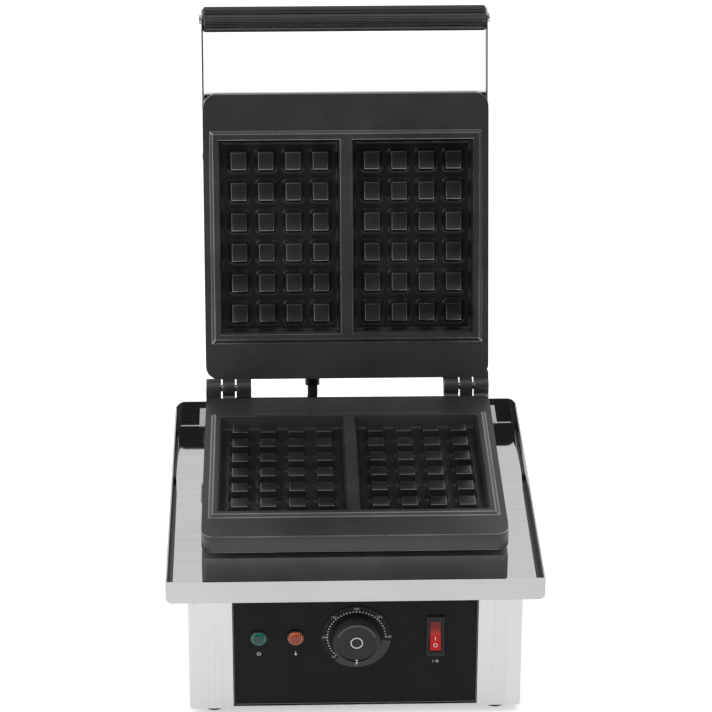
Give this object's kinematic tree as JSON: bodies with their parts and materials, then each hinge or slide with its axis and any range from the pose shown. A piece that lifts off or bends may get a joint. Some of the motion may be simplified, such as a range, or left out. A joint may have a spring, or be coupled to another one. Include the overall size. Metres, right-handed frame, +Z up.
{
  "type": "waffle maker",
  "caption": "Countertop waffle maker with hinged cast plates, ribbed handle, drip tray, dial, rocker switch and indicator lamps; lid stored open.",
  "frame": {"origin": "centre of the bounding box at floor level, under the feet", "axes": "+X to the right seen from the controls, +Y to the back, +Z up"},
  "size_m": [0.311, 0.4088, 0.4899],
  "materials": {
    "steel_satin": "satin stainless sheet",
    "steel_mirror": "bright polished stainless sheet",
    "sheet_grey": "dark grey enamelled sheet",
    "cast_black": "black non-stick coated casting",
    "fastener": "zinc-plated steel",
    "pin_steel": "plain steel",
    "element_steel": "heat-dulled steel",
    "copper": "copper",
    "earth_brass": "brass",
    "insulation": "mineral fibre pad",
    "bakelite": "black phenolic, ribbed",
    "panel_black": "black printed fascia",
    "dial_grey": "dark grey dial",
    "black_plastic": "black moulded plastic",
    "red_lens": "translucent red",
    "green_lens": "translucent green",
    "amber_lens": "translucent amber",
    "lamp_rim": "bright rim",
    "ceramic": "ceramic or heat-proof moulding",
    "rubber": "black rubber"
  },
  "bodies": {
    "base": {"base_shell": "steel_satin", "bottom_plate": "steel_satin", "rear_panel": "steel_satin", "control_panel": "panel_black", "foot_front_left": "rubber", "foot_front_right": "rubber", "foot_rear_left": "rubber", "foot_rear_right": "rubber", "foot_screws": "fastener", "drip_tray": "steel_mirror", "tray_nuts": "fastener", "plate_stand": "sheet_grey", "stand_screws": "fastener", "rear_bracket": "steel_satin", "bracket_screws": "fastener", "lower_plate": "cast_black", "lower_plate_screws": "fastener", "lower_element": "element_steel", "lower_clamp": "steel_satin", "lower_clamp_screws": "fastener", "lower_insulation": "insulation", "sensor_bulb": "copper", "capillary": "copper", "safety_cutout": "ceramic", "hinge_pin_left": "pin_steel", "hinge_pin_right": "pin_steel", "tray_grommet": "rubber", "lid_lead": "rubber", "cord_inlet": "black_plastic", "thermostat_body": "ceramic", "thermostat_nut": "fastener", "dial_plate": "dial_grey", "green_lamp_body": "lamp_rim", "green_lens": "green_lens", "amber_lamp_body": "lamp_rim", "amber_lens": "amber_lens", "switch_body": "black_plastic", "terminal_block": "ceramic", "earth_stud": "earth_brass", "panel_studs": "fastener", "housing_screws": "fastener"},
    "lid": {"upper_plate": "cast_black", "upper_element": "element_steel", "upper_clamp": "steel_satin", "upper_clamp_screws": "fastener", "upper_insulation": "insulation", "cover_posts": "fastener", "lid_cover": "steel_satin", "cover_screws": "fastener", "arm_left": "steel_satin", "arm_right": "steel_satin", "arm_screws": "fastener", "handle_grip": "bakelite", "handle_rod": "fastener", "handle_screws": "fastener", "lid_gland": "black_plastic"},
    "knob": {"control_shaft": "pin_steel", "knob": "black_plastic"},
    "rocker": {"switch_rocker": "red_lens"}
  },
  "joints": [
    {"name": "lid_hinge", "type": "hinge", "parent": "base", "child": "lid", "pos_m": [0, 0.07486, 0.1736], "axis": [1, 0, 0], "range_deg": [0, 106.5], "deforming": ["lid_lead"]},
    {"name": "knob_turn", "type": "hinge", "parent": "base", "child": "knob", "pos_m": [0.0008, -0.19294, 0.0755], "axis": [0, 1, 0], "range_deg": [0, 270]},
    {"name": "switch_rock", "type": "hinge", "parent": "base", "child": "rocker", "pos_m": [0.0662, -0.19044, 0.0755], "axis": [1, 0, 0], "range_deg": [0, 18]}
  ]
}
